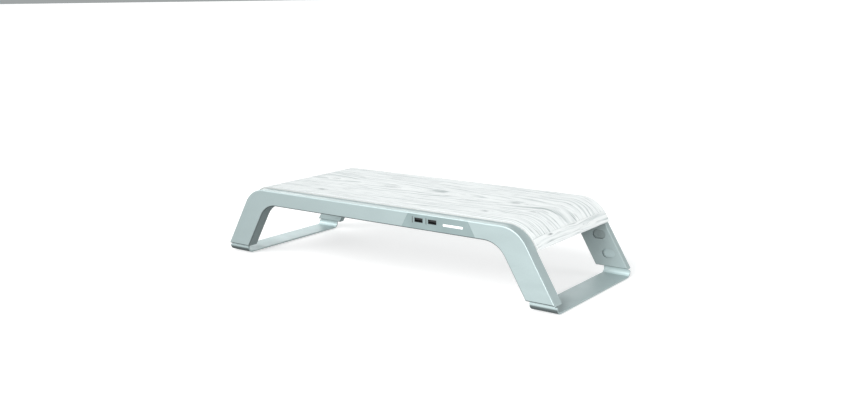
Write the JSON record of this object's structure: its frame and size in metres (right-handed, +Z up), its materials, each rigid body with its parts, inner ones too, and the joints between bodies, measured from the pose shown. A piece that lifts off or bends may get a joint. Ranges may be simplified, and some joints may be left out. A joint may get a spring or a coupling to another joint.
{
  "type": "monitor riser stand",
  "caption": "Monitor stand: a pale wood-grain board on two arched silver frames, a USB hub in the front beam, and U-shaped feet that slide out of the legs to a second height.",
  "frame": {"origin": "middle of the footprint, on the surface that the foot pads stand on", "axes": "+X along the stand to the right as seen from the front, +Y from front to rear, +Z up"},
  "size_m": [0.5654, 0.2074, 0.1046],
  "materials": {
    "frame_paint": "satin silver-grey paint",
    "foot_paint": "satin silver-grey paint, slightly darker",
    "board_laminate": "white-washed wood grain, matt, grain along X",
    "band_laminate": "white-washed wood grain, matt, grain along Y",
    "board_core": "white sealed fibreboard",
    "rail_steel": "galvanised sheet",
    "fastener_steel": "zinc-plated",
    "spring_steel": "bare spring steel",
    "button_plastic": "mid-grey, fine texture",
    "pad_rubber": "matt black",
    "bezel_plastic": "grey, satin",
    "mark_print": "dark grey print",
    "bar_print": "white print",
    "hub_plastic": "black",
    "circuit_board": "green solder mask",
    "chip_black": "black moulding",
    "port_metal": "nickel-plated sheet",
    "contact_metal": "gold-plated"
  },
  "bodies": {
    "frame": {"front_frame": "frame_paint", "rear_frame": "frame_paint", "front_right_leg_cover": "frame_paint", "front_left_leg_cover": "frame_paint", "rear_right_leg_cover": "frame_paint", "rear_left_leg_cover": "frame_paint", "platform_top_laminate": "board_laminate", "right_end_band": "band_laminate", "left_end_band": "band_laminate", "platform_core": "board_core", "right_end_core": "board_core", "left_end_core": "board_core", "right_cross_rail": "rail_steel", "left_cross_rail": "rail_steel", "rail_screws": "fastener_steel", "board_screws": "fastener_steel", "hub_screws": "fastener_steel", "hub_bezel": "bezel_plastic", "port_marks": "mark_print", "bezel_bar": "bar_print", "hub_housing": "hub_plastic", "left_port_insulator": "hub_plastic", "right_port_insulator": "hub_plastic", "inlet_tongue": "hub_plastic", "hub_circuit_board": "circuit_board", "hub_chip": "chip_black", "left_port_shell": "port_metal", "right_port_shell": "port_metal", "inlet_shell": "port_metal", "port_contacts": "contact_metal"},
    "right_foot_assembly": {"right_foot": "foot_paint", "right_foot_pads": "pad_rubber", "right_leaf_rivets": "fastener_steel", "front_right_leaf_spring": "spring_steel", "rear_right_leaf_spring": "spring_steel"},
    "left_foot_assembly": {"left_foot": "foot_paint", "left_foot_pads": "pad_rubber", "left_leaf_rivets": "fastener_steel", "front_left_leaf_spring": "spring_steel", "rear_left_leaf_spring": "spring_steel"},
    "front_right_latch": {"front_right_button": "button_plastic"},
    "front_left_latch": {"front_left_button": "button_plastic"},
    "rear_right_latch": {"rear_right_button": "button_plastic"},
    "rear_left_latch": {"rear_left_button": "button_plastic"}
  },
  "joints": [
    {"name": "right_foot_slide", "type": "slide", "parent": "frame", "child": "right_foot_assembly", "axis": [0.509, 0, -0.8607], "range_m": [0, 0.02905]},
    {"name": "left_foot_slide", "type": "slide", "parent": "frame", "child": "left_foot_assembly", "axis": [-0.509, 0, -0.8607], "range_m": [0, 0.02905]},
    {"name": "front_right_button_press", "type": "slide", "parent": "right_foot_assembly", "child": "front_right_latch", "axis": [0, -1, 0], "range_m": [0, 0.0018], "stiffness_N_per_m": 1500, "springref_m": -0.0005, "deforming": ["front_right_leaf_spring"]},
    {"name": "front_left_button_press", "type": "slide", "parent": "left_foot_assembly", "child": "front_left_latch", "axis": [0, -1, 0], "range_m": [0, 0.0018], "stiffness_N_per_m": 1500, "springref_m": -0.0005, "deforming": ["front_left_leaf_spring"]},
    {"name": "rear_right_button_press", "type": "slide", "parent": "right_foot_assembly", "child": "rear_right_latch", "axis": [0, 1, 0], "range_m": [0, 0.0018], "stiffness_N_per_m": 1500, "springref_m": -0.0005, "deforming": ["rear_right_leaf_spring"]},
    {"name": "rear_left_button_press", "type": "slide", "parent": "left_foot_assembly", "child": "rear_left_latch", "axis": [0, 1, 0], "range_m": [0, 0.0018], "stiffness_N_per_m": 1500, "springref_m": -0.0005, "deforming": ["rear_left_leaf_spring"]}
  ]
}
